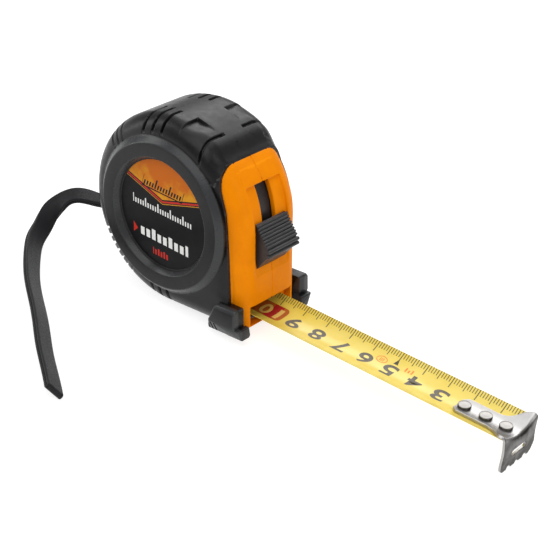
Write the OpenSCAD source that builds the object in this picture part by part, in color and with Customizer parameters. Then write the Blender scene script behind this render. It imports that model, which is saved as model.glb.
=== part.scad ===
// Pocket tape measure with a rubber-jacketed case, its blade drawn out and locked.
// Everything is modelled about the spool's axis, then tipped nose-up by rest_pitch, because
// the case rests on its round heel and the blade on its end hook.
// Row frame: +X along the blade, +Z up, Y across, origin on the table under the spool's axis.

/* [Case] */
// Radius of the round back, over the rubber jacket
case_r = 34.5; // [34.25:0.25:36]
// Half width of the jacket without its side rings
jacket_y = 17; // [16.8:0.1:17.6]
// Rounding of the jacket's long edges
jacket_round = 7; // [5:0.5:8]
// Thickness of the rubber jacket
jacket_t = 2.2; // [2:0.1:2.4]
// Half width over the side rings
ring_y = 19.3; // [18.8:0.1:20]
// Outer radius of the side rings at their foot
ring_r = 28.3; // [27.8:0.1:28.8]
// Radius of the side labels
label_r = 18.8; // [17:0.2:19]
// Distance of the nose's front face from the spool's axis
nose_x = 34.2; // [34:0.1:35]
// Half width of the orange nose
nose_y = 14.6; // [14:0.1:15]
// Rounding of the nose's long edges
nose_round = 6.5; // [5:0.5:7.5]
// Height of the nose's top edge above the spool's axis
nose_top = 23.2; // [22.5:0.1:24]

/* [Blade] */
// Width of the blade across its cup
blade_w = 18; // [17:0.25:18.5]
// Depth of the blade's cup
blade_cup = 3.1; // [2.6:0.1:3.4]
// Thickness of the blade with its coating
blade_t = 0.2; // [0.16:0.02:0.24]
// Scale zero, ahead of the spool's axis
zero_x = 133.1; // [110:0.1:150]
// Scale zero, below the spool's axis
zero_z = 39.25; // [38.8:0.05:39.4]
// Droop of the blade towards its hook, in degrees
droop = 3.94; // [3.8:0.02:4.1]
// Outer radius of the wound part of the blade
coil_r = 24.2; // [22:0.1:24.6]

/* [Hook] */
// Half width of the hook's claw
claw_y = 9.4; // [9:0.1:10]
// Depth of the claw below the blade
claw_drop = 9; // [8:0.25:10]
// Length of the tongue on the blade
tongue_len = 22.6; // [22:0.2:24]
// Width of the tongue
tongue_w = 9.2; // [8:0.2:10]
// Play of the hook on its rivets
hook_play = 1; // [0.8:0.1:1.2]

/* [Lock] */
// Width of the lock button
button_w = 15.5; // [14:0.5:16]
// Width of the slot that the button runs in
slot_w = 6.8; // [6:0.2:7.4]

/* [Strap] */
// Width of the doubled wrist strap
strap_w = 7; // [6:0.25:9]
// Thickness of the doubled wrist strap
strap_t = 2.4; // [2:0.1:2.8]

/* [Hidden] */
$fn = 96;

core_r = case_r - jacket_t;       // shells under the rubber
core_y = jacket_y - 1.8;
wall = 1.6;
cavity_r = core_r - wall;
cavity_y = core_y - 2.4;
label_y = jacket_y - 0.5;         // plane that a label is stuck on
label_t = 0.25;
ring_face_r = ring_r - 2.3;
nose_axis_z = -1;                 // axis of the nose's upper curve
panel_depth = 1.4;                // sunk panel round the slot
panel_r = nose_x - panel_depth;
slot_low = -12.5;
slot_high = 15;
mouth_y = 10.4;
mouth_top = -25.9;
mouth_low = -33.4;
fit = 0.05;                       // radial clearance of a running fit

cup_r = (pow(blade_w / 2, 2) + pow(blade_cup, 2)) / (2 * blade_cup);
tip_len = 26;                     // stretch of blade that stays flat under the tongue
blade_in_x = 22;                  // where the straight blade ends inside the case
blade_len = (zero_x - blade_in_x) / cos(droop);
hook_t = 1;
rivet_x = [-4.5, -12, -20];
rivet_r = 1;

// The claw's lowest corner, about the spool's axis, and the pitch that sets it on the table
claw_x = zero_x - claw_drop * sin(droop);
claw_z = -zero_z - claw_drop * cos(droop);
rest_pitch = atan2(-claw_z, claw_x) - asin(case_r / norm([claw_x, claw_z]));

arbor_r = 4;
drum_r = 18.1;
drum_y = 9.6;
spring_y = 7.4;
screw_angles = [55, 115, 175, 235];
screw_at = 27.6;
clip_screw_z = 11;
strip_r = 30.4;                   // outer face of the lock strip
bar_angle = 203;                  // where the strap's bar sits on the round back
bar_at = 31;

// Route of the strap's middle line in the row frame: out of the pocket, over, along the table
strap_route = [[-28.3, 0, 19.5], [-31.5, 0, 19.1], [-34.5, -0.5, 18.4], [-39, -1.5, 17.5],
  [-43.5, -2.5, 16.5], [-47, -3.5, 16.5], [-50.5, -4.5, 16.5], [-53.5, -6, 16], [-56, -7.5, 14.5],
  [-58, -9.5, 12], [-59, -12, 10], [-59, -14.5, 7.5], [-58, -17, 5.6], [-57, -20, 4.3],
  [-55, -24, 3.6], [-51.5, -28, 3.5], [-46.5, -33, 3.4], [-37.5, -41.5, 3.4], [-28, -48.5, 3.4],
  [-18.5, -55, 3.4], [-10, -61.5, 3.4], [-2, -68, 3.4], [6, -73.5, 3.4], [14, -79, 3.4],
  [18, -82, 3.4]];

// ---------------------------------------------------------------- helpers
module at_rest() translate([0, 0, case_r]) rotate([0, -rest_pitch, 0]) children();
module about_spool() rotate([-90, 0, 0]) children();
module along_x(len) rotate([90, 0, 90]) linear_extrude(len) children();
module across(width) rotate([90, 0, 0]) linear_extrude(width, center = true) children();
module on_blade() translate([zero_x, 0, -zero_z]) rotate([0, droop, 0]) children();
module ring(r_out, r_in, y0, y1) about_spool() translate([0, 0, y0]) difference() {
  cylinder(r = r_out, h = y1 - y0);
  translate([0, 0, -1]) cylinder(r = r_in, h = y1 - y0 + 2);
}
module disc(r, y0, y1) about_spool() translate([0, 0, y0]) cylinder(r = r, h = y1 - y0);
module half(side) translate([-100, side > 0 ? 0 : -100, -100]) cube([200, 100, 200]);
module at_angle(r, a) translate([r * cos(a), 0, r * sin(a)]) children();

// Half section of a D-shaped body: radius r, half width w, long edges rounded by c
module section(r, w, c) {
  translate([0, -w]) square([r - c, 2 * w]);
  translate([0, c - w]) square([r, 2 * (w - c)]);
  for (s = [-1, 1]) translate([r - c, s * (w - c)]) circle(c);
}

// Round back and top; the lower front quarter runs to a flat front and a base `low` under the axis
module d_body(r, front, low, w, c, corner) {
  rotate([90, 0, 0]) rotate_extrude() section(r, w, c);
  intersection() {
    translate([0, 0, -low]) linear_extrude(low) section(front, w, c);
    along_x(front) rotate(-90) section(low, w, c);
    across(2 * w + 1) {
      translate([0, -low]) square([front - corner, low]);
      translate([0, corner - low]) square([front, low - corner]);
      translate([front - corner, corner - low]) circle(corner);
    }
  }
}

// ---------------------------------------------------------------- case shells
module nose_zone() polygon([[29.6, -40], [29.6, -18], [26.4, 16], [20, nose_top],
  [20, nose_top + 9], [44, nose_top + 9], [44, -40]]);

// Front opening of the jacket, with rounded upper corners
module window(w, top) translate([18, 0, 0]) along_x(24) {
  translate([-w - 6, -45]) square([2 * w + 12, 45 + top - 7]);
  translate([7 - w, -45]) square([2 * w - 14, 45 + top]);
  for (s = [-1, 1]) translate([s * (w - 7), top - 7]) circle(7);
}

module nose() intersection() {
  translate([0, 0, nose_axis_z])
    d_body(nose_x, nose_x, case_r + nose_axis_z, nose_y, nose_round, 3);
  across(60) nose_zone();
  window(13.6, nose_top);
}

module nose_opening() intersection() {
  across(60) nose_zone();
  window(13.62, nose_top + 0.02);
}

module core(grow) d_body(core_r + grow, core_r + grow, core_r + grow, core_y + grow, 6.4, 3);

module shell_solid() {
  difference() {
    core(0);
    across(60) nose_zone();
  }
  disc(label_r + 0.9, -label_y, label_y);
  nose();
}

module mouth() translate([4, -mouth_y, mouth_low])
  cube([40, 2 * mouth_y, mouth_top - mouth_low]);

module cavity() {
  d_body(cavity_r, 31.6, cavity_r, cavity_y, 4, 1.5);
  mouth();
}

module lock_cut() {
  translate([28, -slot_w / 2, slot_low]) cube([10, slot_w, slot_high - slot_low]);
  difference() {
    translate([20, -8.4, -15.4]) cube([20, 16.8, 15.4 + 16.6]);
    d_body(panel_r, panel_r, panel_r, 9, 0.5, 0.5);
  }
}

module strap_pocket() at_angle(bar_at, bar_angle) rotate([0, -bar_angle, 0])
  translate([-2.4, -4.9, -3.6]) cube([8, 9.8, 7.2]);

module shell(side) difference() {
  union() {
    difference() {
      shell_solid();
      cavity();
    }
    intersection() {
      union() {
        for (a = screw_angles) at_angle(screw_at, a) about_spool()
          translate([0, 0, -cavity_y - 0.5]) cylinder(r = 2.6, h = 2 * cavity_y + 1);
        for (s = [-1, 1]) ring(6.5, 3, s > 0 ? 10.6 : -13.2, s > 0 ? 13.2 : -10.6);
        at_angle(bar_at, bar_angle) rotate([0, -bar_angle, 0])
          translate([-3.8, -6.4, -5]) cube([4, 12.8, 10]);
      }
      d_body(cavity_r + 0.6, cavity_r, cavity_r, cavity_y + 0.6, 3.4, 1);
    }
  }
  half(-side);
  lock_cut();
  strap_pocket();
  at_angle(bar_at, bar_angle) about_spool() translate([0, 0, -6.6]) cylinder(r = 1.04, h = 13.2);
  disc(arbor_r + 0.02, -12.75, 12.75);
  for (a = screw_angles) at_angle(screw_at, a) about_spool() {
    translate([0, 0, -9]) cylinder(r = 1.1, h = 30);
    translate([0, 0, 0.01]) cylinder(r = 1.3, h = 30);
    translate([0, 0, 13]) cylinder(r = 2.3, h = 10);
  }
  if (side > 0) {
    translate([0, 0, clip_screw_z]) about_spool()
      translate([0, 0, label_y - 3.2]) cylinder(r = 1.25, h = 6);
    about_spool() translate([0, 0, 12]) cylinder(r = 1.3, h = 6);
    about_spool() translate([0, 0, 14.6]) cylinder(r = 2.4, h = 6);
  }
}

module case_right() color("darkorange") at_rest() shell(-1);
module case_left() color("darkorange") at_rest() shell(1);

// ---------------------------------------------------------------- rubber jackets
module foot(side) translate([0, side * 16.3, 0]) hull() for (x = [24, 35.8], y = [-2.4, 2])
  translate([x, side * y, -case_r]) cylinder(r = 1.5, h = 9, $fn = 24);

module side_ring(side) about_spool() mirror([0, 0, side > 0 ? 0 : 1])
  translate([0, 0, jacket_y - 2.2]) difference() {
    union() {
      cylinder(r = ring_r, h = 2.2);
      translate([0, 0, 2.2]) cylinder(r1 = ring_r, r2 = ring_face_r, h = ring_y - jacket_y);
    }
    translate([0, 0, -1]) cylinder(r = label_r + 0.9, h = 9);
    translate([0, 0, label_y - jacket_y + 2.2])
      cylinder(r1 = label_r + 0.9, r2 = label_r + 2.4, h = ring_y - label_y + 0.01);
  }

module grip(side) difference() {
  union() {
    difference() {
      union() {
        difference() {
          d_body(case_r, case_r, case_r, jacket_y, jacket_round, 3);
          disc(label_r + 1.2, -40, 40);
        }
        side_ring(side);
      }
      core(0.02);
      nose_opening();
    }
    difference() {
      foot(side);
      translate([18, -nose_y - 0.02, -40])
        cube([nose_x - 18 + 0.02, 2 * nose_y + 0.04, 80]);
      core(0.02);
    }
  }
  half(-side);
  strap_pocket();
  mouth();
  for (a = screw_angles) at_angle(screw_at, a) about_spool()
    translate([0, 0, 13]) cylinder(r = 2.5, h = 10);
}

module grip_right() color("dimgray") at_rest() grip(-1);
module grip_left() color("dimgray") at_rest() grip(1);

// ---------------------------------------------------------------- labels
module label(side) disc(label_r, side > 0 ? label_y : -label_y - label_t,
  side > 0 ? label_y + label_t : -label_y);

module label_right() color("black") at_rest() label(-1);
module label_left() color("black") at_rest() difference() {
  label(1);
  for (z = [0, clip_screw_z]) translate([0, 0, z]) about_spool() translate([0, 0, 10])
    cylinder(r = z > 0 ? 1.4 : 2.4, h = 10);
}

// ---------------------------------------------------------------- lock
module arc_band(r0, r1, a0, a1, w) intersection() {
  ring(r1, r0, -w / 2, w / 2);
  across(w + 2) polygon(concat([[0, 0]], [for (k = [0 : 6]) let (a = a0 + (a1 - a0) * k / 6)
    [60 * cos(a), 60 * sin(a)]]));
}

module lock_button() color("dimgray") at_rest() {
  across(button_w) polygon([[panel_r + 0.15, 3.2], [34.6, 1.2], [39.1, -5.2], [39, -6.6],
    [38.2, -7.6], [panel_r + 0.15, -13.4]]);
  intersection() {
    arc_band(strip_r + 0.02, 37, -16, 3, slot_w - 0.5);
    translate([20, -10, -20]) cube([15, 20, 40]);
  }
}
module lock_strip() color("black") at_rest() arc_band(strip_r - 1, strip_r, -42, 29, 9.4);

// The shoe's two pads stand on the blade either side of the tongue and its rivets
module brake_shoe() color("black") at_rest() {
  across(13) difference() {
    polygon([[19.2, -22.4], [22.6, -19], [25.4, -22], [24.8, -28.6], [21.2, -28.6]]);
    circle(strip_r + 0.02);
  }
  for (y = [-6.5, 5]) intersection() {
    translate([21.4, y, -32]) cube([3, 1.5, 5]);
    on_blade() translate([-116, 0, cup_r]) rotate([0, 90, 0])
      cylinder(r = cup_r - 0.03, h = 12);
  }
}

// ---------------------------------------------------------------- blade
module blade_section(lift, t, w) intersection() {
  translate([0, cup_r]) difference() {
    circle(cup_r - lift + t);
    circle(cup_r - lift);
  }
  translate([-w / 2, -2]) square([w, blade_cup + 2]);
}

module blade_tip() color("gold") at_rest() on_blade() difference() {
  translate([-tip_len, 0, 0]) along_x(tip_len) blade_section(0, blade_t, blade_w);
  for (x = rivet_x) translate([x, 0, -2]) cylinder(r = rivet_r + 0.04, h = 4);
}
module blade() color("gold") at_rest() on_blade() translate([-blade_len, 0, 0])
  along_x(blade_len - tip_len) blade_section(0, blade_t, blade_w);

// From the coil's underside to the straight blade: a smooth bend through a middle point
run_start = [-6.2, -24.45];
run_mid = [9, -29.8];
run_end = [blade_in_x - 0.02, -zero_z + (zero_x - blade_in_x) * tan(droop)];
function bend(t) = pow(1 - t, 2) * run_start + 2 * t * (1 - t) * run_mid + t * t * run_end;
module blade_run() color("gold") at_rest() across(blade_w) polygon(concat(
  [for (k = [0 : 12]) bend(k / 12)], [for (k = [12 : -1 : 0]) bend(k / 12) - [0, blade_t]]));
module blade_coil() color("goldenrod") at_rest() ring(coil_r, drum_r + fit, -blade_w / 2, blade_w / 2);

// ---------------------------------------------------------------- hook and rivets
module rivet_slot() {
  for (x = [0, -hook_play]) translate([x, 0, -1]) cylinder(r = rivet_r + fit, h = 5);
  translate([-hook_play, -rivet_r - fit, -1]) cube([hook_play, 2 * (rivet_r + fit), 5]);
}

module end_hook() color("silver") at_rest() on_blade() difference() {
  union() {
    translate([-tongue_len, 0, 0]) along_x(tongue_len + 0.6)
      blade_section(hook_t + 0.03, hook_t, tongue_w);
    translate([-3, 0, 0]) along_x(3.6) blade_section(hook_t + 0.03, hook_t, 2 * claw_y - 0.8);
    translate([0.05, 0, 0]) along_x(hook_t) difference() {
      translate([-claw_y, -claw_drop]) square([2 * claw_y, claw_drop + 3.3]);
      for (k = [-1 : 1]) translate([k * 4.6, -claw_drop]) circle(r = 0.8, $fn = 4);
      hull() for (s = [-1, 1]) translate([s * 2.6 + 1.2, -4.8]) circle(0.9, $fn = 24);
    }
  }
  for (x = rivet_x) translate([x, 0, 0]) rivet_slot();
  translate([-tongue_len, 0, -1]) for (s = [-1, 1]) translate([0, s * (tongue_w / 2 + 0.6), 0])
    rotate(45) translate([-2, -2, 0]) cube([4, 4, 6]);
}

module hook_rivets() color("silver") at_rest() on_blade() for (x = rivet_x) translate([x, 0, 0]) {
  translate([0, 0, -0.6]) cylinder(r = rivet_r, h = 2);
  translate([0, 0, -blade_t - 0.52]) cylinder(r = 1.7, h = 0.5);
  intersection() {
    translate([0, 0, -0.6]) sphere(2.45);
    translate([0, 0, hook_t + 0.16]) cylinder(r = 2, h = 2);
  }
}

// ---------------------------------------------------------------- spool and spring
module spool() color("white") at_rest() {
  ring(drum_r, drum_r - 1.6, -drum_y, drum_y);
  ring(drum_r - 1, arbor_r + fit, -drum_y, -drum_y + 1.2);
}
module spool_cover() color("white") at_rest() ring(drum_r - 1.65, arbor_r + fit, drum_y - 1.4, drum_y);

spring_turns = 9;
function coil_at(turn) = 4.6 + 11.4 * turn / spring_turns;
function coil_point(turn, off) = (coil_at(turn) + off) * [sin(360 * turn), cos(360 * turn)];
module power_spring() color("slategray") at_rest() across(2 * spring_y) {
  polygon(concat([[-0.14, 1.4], [-0.14, 4.5]],
    [for (k = [0 : spring_turns * 20]) coil_point(k / 20, 0.12)],
    [for (k = [spring_turns * 20 : -1 : 1]) coil_point(k / 20, -0.12)], [[0.1, 4.4], [0.1, 1.4]]));
}
module arbor() color("silver") at_rest() difference() {
  disc(arbor_r, -12.7, 12.7);
  translate([-0.5, -spring_y - 0.2, 0.9]) cube([1, 2 * spring_y + 0.4, 5]);
  disc(1.1, 7.8, 20);
}

// ---------------------------------------------------------------- fasteners and clip
module screw(head_y, head_r, head_h, shank_r, len) about_spool() translate([0, 0, head_y]) {
  translate([0, 0, -len]) cylinder(r = shank_r, h = len);
  difference() {
    cylinder(r = head_r, h = head_h);
    for (turn = [0, 90]) rotate(turn) translate([-head_r * 0.6, -0.25, head_h - 0.6])
      cube([head_r * 1.2, 0.5, 1]);
  }
}

module case_screws() color("silver") at_rest() for (a = screw_angles)
  at_angle(screw_at, a) screw(13.05, 2, 1.3, 1.07, 21.5);
module centre_screw() color("silver") at_rest() screw(14.65, 2.2, 1.4, 1.07, 6.5);
module clip_screw() color("silver") at_rest() translate([0, 0, clip_screw_z])
  screw(label_y + label_t + 0.9, 2.6, 1.2, 1.2, 4);

// Inner face of the clip: height, and stand-off from the label
clip_path = [[17, 0], [6.5, 0], [1, 3.6], [-16, 3.9], [-22, 3.2], [-27, 5.4]];
clip_t = 0.8;
module belt_clip() color("silver") at_rest() difference() {
  translate([-6.5, label_y + label_t + 0.05, 0]) along_x(13) polygon(concat(
    [for (p = clip_path) [p[1], p[0]]],
    [for (k = [len(clip_path) - 1 : -1 : 0]) [clip_path[k][1] + clip_t, clip_path[k][0]]]));
  translate([0, 0, clip_screw_z]) about_spool() translate([0, 0, 10]) cylinder(r = 1.3, h = 10);
}

// ---------------------------------------------------------------- wrist strap
module strap_bar() color("silver") at_rest() at_angle(bar_at, bar_angle)
  disc(1, -6.5, 6.5);

strap_steps = 3;
strap_last = (len(strap_route) - 1) * strap_steps;
function mix3(p0, p1, p2, p3, t) = 0.5 * (2 * p1 + (p2 - p0) * t
  + (2 * p0 - 5 * p1 + 4 * p2 - p3) * t * t + (3 * p1 - p0 - 3 * p2 + p3) * t * t * t);
function route_at(i) = strap_route[max(0, min(len(strap_route) - 1, i))];
function strap_point(k) = let (i = floor(k / strap_steps), t = k / strap_steps - i)
  mix3(route_at(i - 1), route_at(i), route_at(i + 1), route_at(i + 2), t);
function unit(v) = v / norm(v);
function strap_along(k) = unit(strap_point(min(k + 1, strap_last)) - strap_point(max(k - 1, 0)));
// The band leaves the pocket flat, then leans over as it turns along the table
function strap_lean(k) = lookup(k / strap_last, [[0, 0], [0.2, 0], [0.5, -42], [0.7, -50], [1, -48]]);
function strap_across(k) = let (t = strap_along(k), flat = unit(cross([0, 0, 1], t)),
  up = cross(t, flat)) cos(strap_lean(k)) * flat + sin(strap_lean(k)) * up;
strap_form = [for (s = [[-1, -0.7], [-0.93, -1], [0.93, -1], [1, -0.7], [1, 0.7], [0.93, 1],
  [-0.93, 1], [-1, 0.7]]) [s[0] * strap_w / 2, s[1] * strap_t / 2]];
function strap_ring(k) = let (c = strap_point(k), w = strap_across(k), n = cross(strap_along(k), w))
  [for (p = strap_form) c + p[0] * w + p[1] * n];
module wrist_strap() color("black") polyhedron(
  points = [for (k = [0 : strap_last]) each strap_ring(k)],
  faces = concat([[for (j = [0 : 7]) j]], [[for (j = [7 : -1 : 0]) strap_last * 8 + j]],
    [for (k = [0 : strap_last - 1], j = [0 : 7]) let (n = (j + 1) % 8)
      each [[k * 8 + n, k * 8 + j, k * 8 + 8 + j], [k * 8 + n, k * 8 + 8 + j, k * 8 + 8 + n]]]));

case_right();
case_left();
grip_right();
grip_left();
label_right();
label_left();
lock_button();
lock_strip();
brake_shoe();
blade_tip();
blade();
blade_run();
blade_coil();
end_hook();
hook_rivets();
spool();
spool_cover();
power_spring();
arbor();
centre_screw();
case_screws();
belt_clip();
clip_screw();
strap_bar();
wrist_strap();
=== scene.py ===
"""Looks of the tape measure: rubber jacket, orange nose, ribbed lock button, printed blade, hook and strap.

Pieces are modelled in millimetres about the spool's axis (x forward, y across, z up), as in the
part's source, and moved to the row frame (metres, on the table) at the end of each function.
"""
from math import asin, atan2, cos, hypot, pi, radians, sin, sqrt

import bmesh
import bpy
import numpy as np
from mathutils import Matrix, Vector


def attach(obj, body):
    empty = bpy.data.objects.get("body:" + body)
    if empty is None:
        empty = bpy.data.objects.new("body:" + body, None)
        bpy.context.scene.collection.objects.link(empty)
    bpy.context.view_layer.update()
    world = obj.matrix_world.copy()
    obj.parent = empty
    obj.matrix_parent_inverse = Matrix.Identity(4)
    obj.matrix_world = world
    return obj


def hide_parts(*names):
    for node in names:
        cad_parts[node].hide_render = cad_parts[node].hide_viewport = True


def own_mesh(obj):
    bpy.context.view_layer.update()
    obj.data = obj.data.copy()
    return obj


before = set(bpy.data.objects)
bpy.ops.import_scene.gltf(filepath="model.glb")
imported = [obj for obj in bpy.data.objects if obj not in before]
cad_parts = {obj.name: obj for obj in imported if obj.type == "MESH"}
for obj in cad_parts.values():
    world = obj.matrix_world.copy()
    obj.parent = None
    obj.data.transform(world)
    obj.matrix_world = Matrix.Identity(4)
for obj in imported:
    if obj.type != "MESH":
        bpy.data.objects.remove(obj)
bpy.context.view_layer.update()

# -------------- sizes, in millimetres
CASE_R, JACKET_Y, JACKET_ROUND, JACKET_T = 34.5, 17.0, 7.0, 2.2
RING_R, LABEL_R, LABEL_Y = 28.3, 18.8, 16.5
NOSE_X, NOSE_Y = 34.2, 14.6
PANEL_R = 32.8
BLADE_W, BLADE_CUP, BLADE_T = 18.0, 3.1, 0.2
ZERO_X, ZERO_Z, DROOP = 133.1, 39.25, radians(3.94)
TIP_LEN, BLADE_IN_X = 26.0, 22.0
CLAW_Y, CLAW_DROP, TONGUE_LEN = 9.4, 9.0, 22.6
RIVET_X = (-4.5, -12.0, -20.0)
BUTTON_W = 15.5
STRAP_W = 7.0
BAR_AT, BAR_ANGLE, BAR_R = 31.0, radians(203), 1.0
CUP_R = ((BLADE_W / 2) ** 2 + BLADE_CUP ** 2) / (2 * BLADE_CUP)

claw_x = ZERO_X - CLAW_DROP * sin(DROOP)
claw_z = -ZERO_Z - CLAW_DROP * cos(DROOP)
REST_PITCH = atan2(-claw_z, claw_x) - asin(CASE_R / hypot(claw_x, claw_z))
TILT = Matrix.Rotation(-REST_PITCH, 4, "Y")
TO_ROW = Matrix.Translation((0, 0, CASE_R / 1000)) @ TILT @ Matrix.Scale(0.001, 4)
ON_BLADE = Matrix.Translation((ZERO_X, 0, -ZERO_Z)) @ Matrix.Rotation(DROOP, 4, "Y")


# -------------- mesh helpers
def mesh_object(name, points, faces):
    mesh = bpy.data.meshes.new(name)
    mesh.from_pydata([tuple(map(float, p)) for p in points], [], faces)
    mesh.update()
    thing = bpy.data.objects.new(name, mesh)
    bpy.context.scene.collection.objects.link(thing)
    return thing


def modified(thing, kind, **settings):
    """Applies one modifier."""
    modifier = thing.modifiers.new("step", kind)
    for key, value in settings.items():
        setattr(modifier, key, value)
    graph = bpy.context.evaluated_depsgraph_get()
    mesh = bpy.data.meshes.new_from_object(thing.evaluated_get(graph))
    thing.modifiers.clear()
    thing.data = mesh
    return thing


def boolean(thing, cutter, operation="DIFFERENCE", overlapping=False):
    """Cuts with, adds or keeps what lies in the cutter, which is used up."""
    modified(thing, "BOOLEAN", operation=operation, object=cutter, solver="EXACT", use_self=overlapping)
    bpy.data.objects.remove(cutter)
    return thing


def bevel(thing, width, segments=4, sharpest=30):
    """Rounds the edges that turn by more than the angle sharpest, in degrees."""
    return modified(thing, "BEVEL", width=width, segments=segments, limit_method="ANGLE",
                    angle_limit=radians(sharpest))


def soften(thing, voxel, rounds):
    """Rounds every edge alike, as moulding and tumbling do."""
    modified(thing, "REMESH", mode="VOXEL", voxel_size=voxel)
    return modified(thing, "SMOOTH", factor=0.5, iterations=rounds)


def outward(thing, merge=True):
    """Turns all faces outwards. Merging joins points that coincide, which a UV layer must not have."""
    work = bmesh.new()
    work.from_mesh(thing.data)
    if merge:
        bmesh.ops.remove_doubles(work, verts=work.verts, dist=1e-4)
    bmesh.ops.recalc_face_normals(work, faces=work.faces)
    work.to_mesh(thing.data)
    work.free()
    return thing


def grid_faces(rows, columns, close_rows=False, close_columns=False):
    faces = []
    for i in range(rows if close_rows else rows - 1):
        for j in range(columns if close_columns else columns - 1):
            a, b = i * columns + j, i * columns + (j + 1) % columns
            c = (i + 1) % rows * columns
            faces.append((a, b, c + (j + 1) % columns, c + j))
    return faces


def capped_sweep(name, rings):
    """Closed tube through rings of points that all have the same number of points."""
    count = len(rings[0])
    points = [p for ring in rings for p in ring]
    faces = grid_faces(len(rings), count, close_columns=True)
    faces.append(tuple(range(count - 1, -1, -1)))
    faces.append(tuple((len(rings) - 1) * count + k for k in range(count)))
    return outward(mesh_object(name, points, faces))


def prism(name, outline, low, high, axis="y"):
    """Outline in the two other axes, extruded along axis from low to high."""
    place = {"x": lambda a, b, t: (t, a, b),
             "y": lambda a, b, t: (a, t, b),
             "z": lambda a, b, t: (a, b, t)}[axis]
    return capped_sweep(name, [[place(a, b, t) for a, b in outline] for t in (low, high)])


def lathe(name, profile, steps=48):
    """Profile of (radius, height) pairs from the axis out and back, turned about z."""
    points = []
    for k in range(steps):
        turn = 2 * pi * k / steps
        points += [(r * cos(turn), r * sin(turn), h) for r, h in profile]
    faces = grid_faces(steps, len(profile), close_rows=True)
    return outward(mesh_object(name, points, faces))


def arc(centre, radius, start, end, steps):
    """Points along a circle from one angle to another."""
    return [(centre[0] + radius * cos(start + (end - start) * k / steps),
             centre[1] + radius * sin(start + (end - start) * k / steps)) for k in range(steps + 1)]


def capsule(half, radius, centre, steps=10):
    """Outline of a long hole with round ends."""
    x, y = centre
    return (arc((x + half, y), radius, -pi / 2, pi / 2, steps)
            + arc((x - half, y), radius, pi / 2, 3 * pi / 2, steps))


def join(things, name):
    with bpy.context.temp_override(active_object=things[0], selected_editable_objects=things,
                                   selected_objects=things):
        bpy.ops.object.join()
    things[0].name = name
    things[0].data.name = name
    return things[0]


def mirrored(thing, name):
    """A copy on the other side of the case's middle plane."""
    copy = thing.copy()
    copy.data = thing.data.copy()
    copy.name = name
    bpy.context.scene.collection.objects.link(copy)
    copy.data.transform(Matrix.Scale(-1, 4, (0, 1, 0)))
    copy.data.flip_normals()
    return copy


def finish_piece(thing, body, material=None, replaced=(), sharp=35, place=None):
    """Moves a piece to the row frame and says its body and the nodes it stands for."""
    thing.data.transform(TO_ROW @ place if place is not None else TO_ROW)
    thing.data.shade_smooth()
    thing.data.set_sharp_from_angle(angle=radians(sharp))
    if material:
        thing.data.materials.clear()
        thing.data.materials.append(material)
    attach(thing, body)
    if replaced:
        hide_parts(*replaced)
    return thing


# -------------- material helpers
class Paint:
    """A node tree with short calls for the few node kinds used here."""

    def __init__(self, name, **settings):
        self.material = bpy.data.materials.new(name)
        self.material.use_nodes = True
        self.tree = self.material.node_tree
        self.shader = self.tree.nodes["Principled BSDF"]
        for key, value in settings.items():
            self.shader.inputs[key.replace("_", " ").title().replace("Ior", "IOR")].default_value = value

    def node(self, kind, inputs=None, **settings):
        made = self.tree.nodes.new(kind)
        for key, value in settings.items():
            setattr(made, key, value)
        for key, value in (inputs or {}).items():
            self.feed(made.inputs[key], value)
        return made

    def feed(self, socket, value):
        if isinstance(value, bpy.types.NodeSocket):
            self.tree.links.new(value, socket)
        elif isinstance(value, bpy.types.Node):
            self.tree.links.new(value.outputs[0], socket)
        else:
            socket.default_value = value

    def math(self, operation, a, b=0.0, c=0.0):
        return self.node("ShaderNodeMath", {0: a, 1: b, 2: c}, operation=operation).outputs[0]

    def where(self):
        return self.node("ShaderNodeTexCoord").outputs["Object"]

    def noise(self, scale, detail=3.0, roughness=0.55, vector=None):
        return self.node("ShaderNodeTexNoise", {"Vector": vector or self.where(), "Scale": scale,
                                                "Detail": detail, "Roughness": roughness}).outputs["Fac"]

    def span(self, value, low, high, to_low=0.0, to_high=1.0):
        return self.node("ShaderNodeMapRange", {"Value": value, "From Min": low, "From Max": high,
                                                "To Min": to_low, "To Max": to_high}).outputs[0]

    def mix(self, share, a, b):
        """Blend of two colours, each a socket or three values."""
        made = self.node("ShaderNodeMix", data_type="RGBA")
        self.feed(made.inputs["Factor"], share)
        for side, tone in (("A", a), ("B", b)):
            self.feed(made.inputs[side], (*tone, 1) if isinstance(tone, tuple) else tone)
        return made.outputs["Result"]

    def bump(self, height, strength, distance, normal=None):
        made = self.node("ShaderNodeBump", {"Height": height, "Strength": strength, "Distance": distance})
        if normal:
            self.feed(made.inputs["Normal"], normal)
        return made.outputs["Normal"]

    def edges(self, low=0.52, high=0.62):
        made = self.node("ShaderNodeNewGeometry")
        return self.span(made.outputs["Pointiness"], low, high)

    def rims(self, worn, side=0.0171):
        """Rubbed edges on the body, and a painted highlight on the slanting faces of what stands out from its
        sides.
        """
        across = self.math("ABSOLUTE", self.node("ShaderNodeSeparateXYZ", {0: self.where()}).outputs[1])
        normal = self.node("ShaderNodeNewGeometry").outputs["Normal"]
        facing = self.math("ABSOLUTE", self.node("ShaderNodeSeparateXYZ", {0: normal}).outputs[1])
        fade = 0.0003
        off_seam = self.span(across, fade, 0.0008)
        body = self.math("MULTIPLY", off_seam, self.span(across, side - fade, side, 1, 0))
        # painted highlight: slanting faces beyond the body's sides, as on the ring and foot bevels, take the
        # lighter edge colour
        highlight_facing = self.span(facing, 0.91, 0.98, 0.75, 0)
        painted_highlight = self.math("MULTIPLY", highlight_facing, self.span(across, side, side + fade))
        return self.math("MAXIMUM", self.math("MULTIPLY", worn, body), painted_highlight)

    def set(self, **sockets):
        for key, value in sockets.items():
            self.feed(self.shader.inputs[key.replace("_", " ").title()], value)
        return self


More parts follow.
